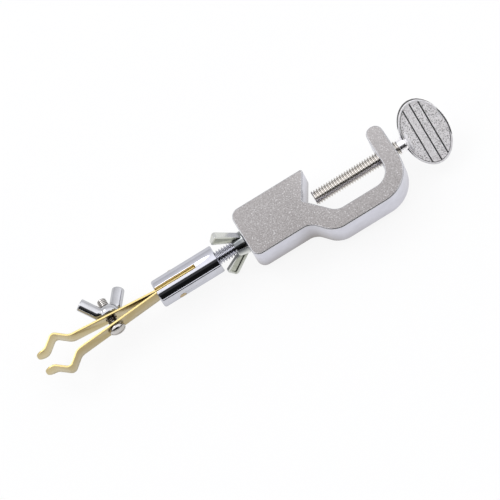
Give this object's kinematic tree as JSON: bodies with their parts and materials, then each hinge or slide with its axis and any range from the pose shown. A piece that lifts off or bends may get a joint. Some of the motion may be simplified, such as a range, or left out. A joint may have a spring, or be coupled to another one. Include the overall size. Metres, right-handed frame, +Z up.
{
  "type": "thermometer clamp",
  "caption": "Laboratory clamp: a cast C-shaped jaw with a thumbscrew grips a stand rod, and a swivelling slotted rod carries spring brass strips that hold a thermometer.",
  "frame": {"origin": "where the clamp screw's axis meets the bottom of the V-shaped jaw, half way through the casting's thickness", "axes": "+X along the clamp towards the thumb head, +Y across it from the casting's bar to the jaws' wing nut, +Z up through the casting's flat faces, along the stand rod that the clamp grips"},
  "size_m": [0.2017, 0.0358, 0.0252],
  "materials": {
    "casting": "die casting, belt-ground flat faces and tumbled bright sides",
    "screw_steel": "nickel-plated steel thread",
    "thumb_head": "cast, stippled field inside a raised rim",
    "chromed_rod": "bright chromium plate",
    "pin_brass": "dulled brass",
    "galvanised_nut": "zinc plated, satin",
    "spring_brass": "satin rolled brass with bright edges",
    "jaw_screw_steel": "bright nickel plate",
    "chromed_nut": "bright chromium plate"
  },
  "bodies": {
    "casting": {"casting": "casting"},
    "clamp_screw": {"clamp_screw": "screw_steel"},
    "thumb_head": {"thumb_head": "thumb_head"},
    "swivel": {"swivel_rod": "chromed_rod", "cross_pin": "pin_brass", "upper_strip_root": "spring_brass", "lower_strip_root": "spring_brass"},
    "swivel_nut": {"swivel_wing_nut": "galvanised_nut"},
    "upper_jaw": {"upper_strip": "spring_brass"},
    "lower_jaw": {"lower_strip": "spring_brass"},
    "jaw_nut": {"jaw_wing_nut": "chromed_nut"},
    "jaw_screw": {"jaw_screw": "jaw_screw_steel"}
  },
  "joints": [
    {"name": "clamp_screw_travel", "type": "slide", "parent": "casting", "child": "clamp_screw", "axis": [1, 0, 0], "range_m": [-0.00127, 0.03175]},
    {"name": "thumb_turn", "type": "hinge", "parent": "clamp_screw", "child": "thumb_head", "pos_m": [0.05, 0, 0], "axis": [1, 0, 0], "range_deg": [-360.1, 9000.1]},
    {"name": "swivel_turn", "type": "hinge", "parent": "casting", "child": "swivel", "pos_m": [-0.0434, 0, 0], "axis": [1, 0, 0], "range_deg": [-180, 180]},
    {"name": "swivel_nut_turn", "type": "hinge", "parent": "swivel", "child": "swivel_nut", "pos_m": [-0.032, 0, 0], "axis": [1, 0, 0], "range_deg": [-270, 0]},
    {"name": "upper_jaw_bend", "type": "hinge", "parent": "swivel", "child": "upper_jaw", "pos_m": [-0.0732, 0, 0], "axis": [0, 0, 1], "range_deg": [-0.51, 3.59]},
    {"name": "lower_jaw_bend", "type": "hinge", "parent": "swivel", "child": "lower_jaw", "pos_m": [-0.0732, 0, 0], "axis": [0, 0, -1], "range_deg": [-0.51, 3.59]},
    {"name": "jaw_nut_turn", "type": "hinge", "parent": "upper_jaw", "child": "jaw_nut", "pos_m": [-0.0954, 0.004, 0], "axis": [0, -1, 0], "range_deg": [-180.1, 1260.1]},
    {"name": "jaw_screw_travel", "type": "slide", "parent": "upper_jaw", "child": "jaw_screw", "axis": [0, 1, 0], "range_m": [-0.0004, 0.00278]}
  ],
  "couplings": [
    {"joint": "thumb_turn", "follows": "clamp_screw_travel", "rad_per_m": 4947.4},
    {"joint": "jaw_nut_turn", "follows": "jaw_screw_travel", "rad_per_m": 7915.8},
    {"joint": "upper_jaw_bend", "follows": "jaw_screw_travel", "rad_per_m": 22.523},
    {"joint": "lower_jaw_bend", "follows": "jaw_screw_travel", "rad_per_m": 22.523}
  ]
}
